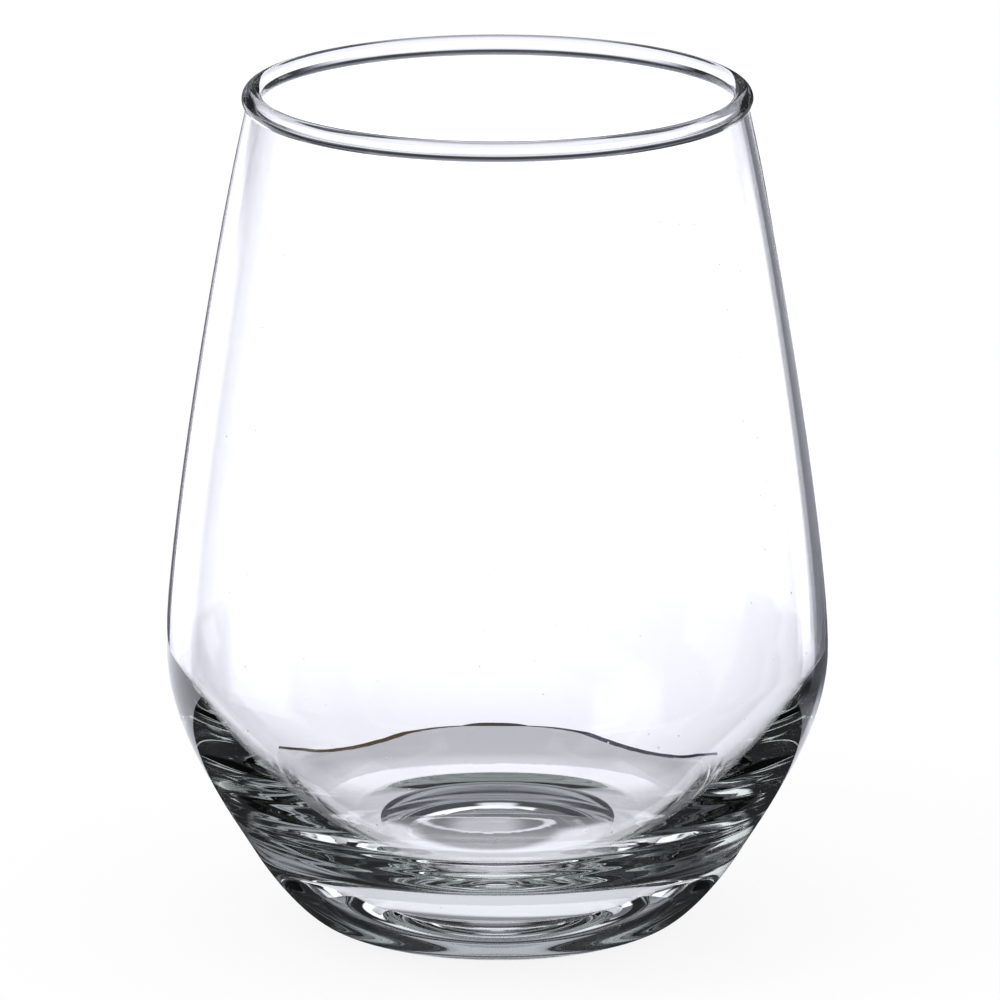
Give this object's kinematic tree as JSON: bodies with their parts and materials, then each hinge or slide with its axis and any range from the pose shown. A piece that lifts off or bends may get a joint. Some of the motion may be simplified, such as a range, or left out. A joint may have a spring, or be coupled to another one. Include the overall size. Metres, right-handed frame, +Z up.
{
  "type": "stemless glass tumbler",
  "caption": "Clear stemless drinking tumbler with a beaded rim, thin wall widening to a low shoulder, tapered heavy base and a domed recess under its foot ring.",
  "frame": {"origin": "centre of the foot ring, on the plane it rests on", "axes": "+Z up along the axis of revolution from foot to rim; the picture looks along +Y, with +X to its right"},
  "size_m": [0.086, 0.086, 0.11],
  "materials": {
    "clear_glass": "clear, fire-polished, faint green-grey tint where thick"
  },
  "bodies": {
    "root": {"glass_body": "clear_glass"}
  },
  "joints": []
}
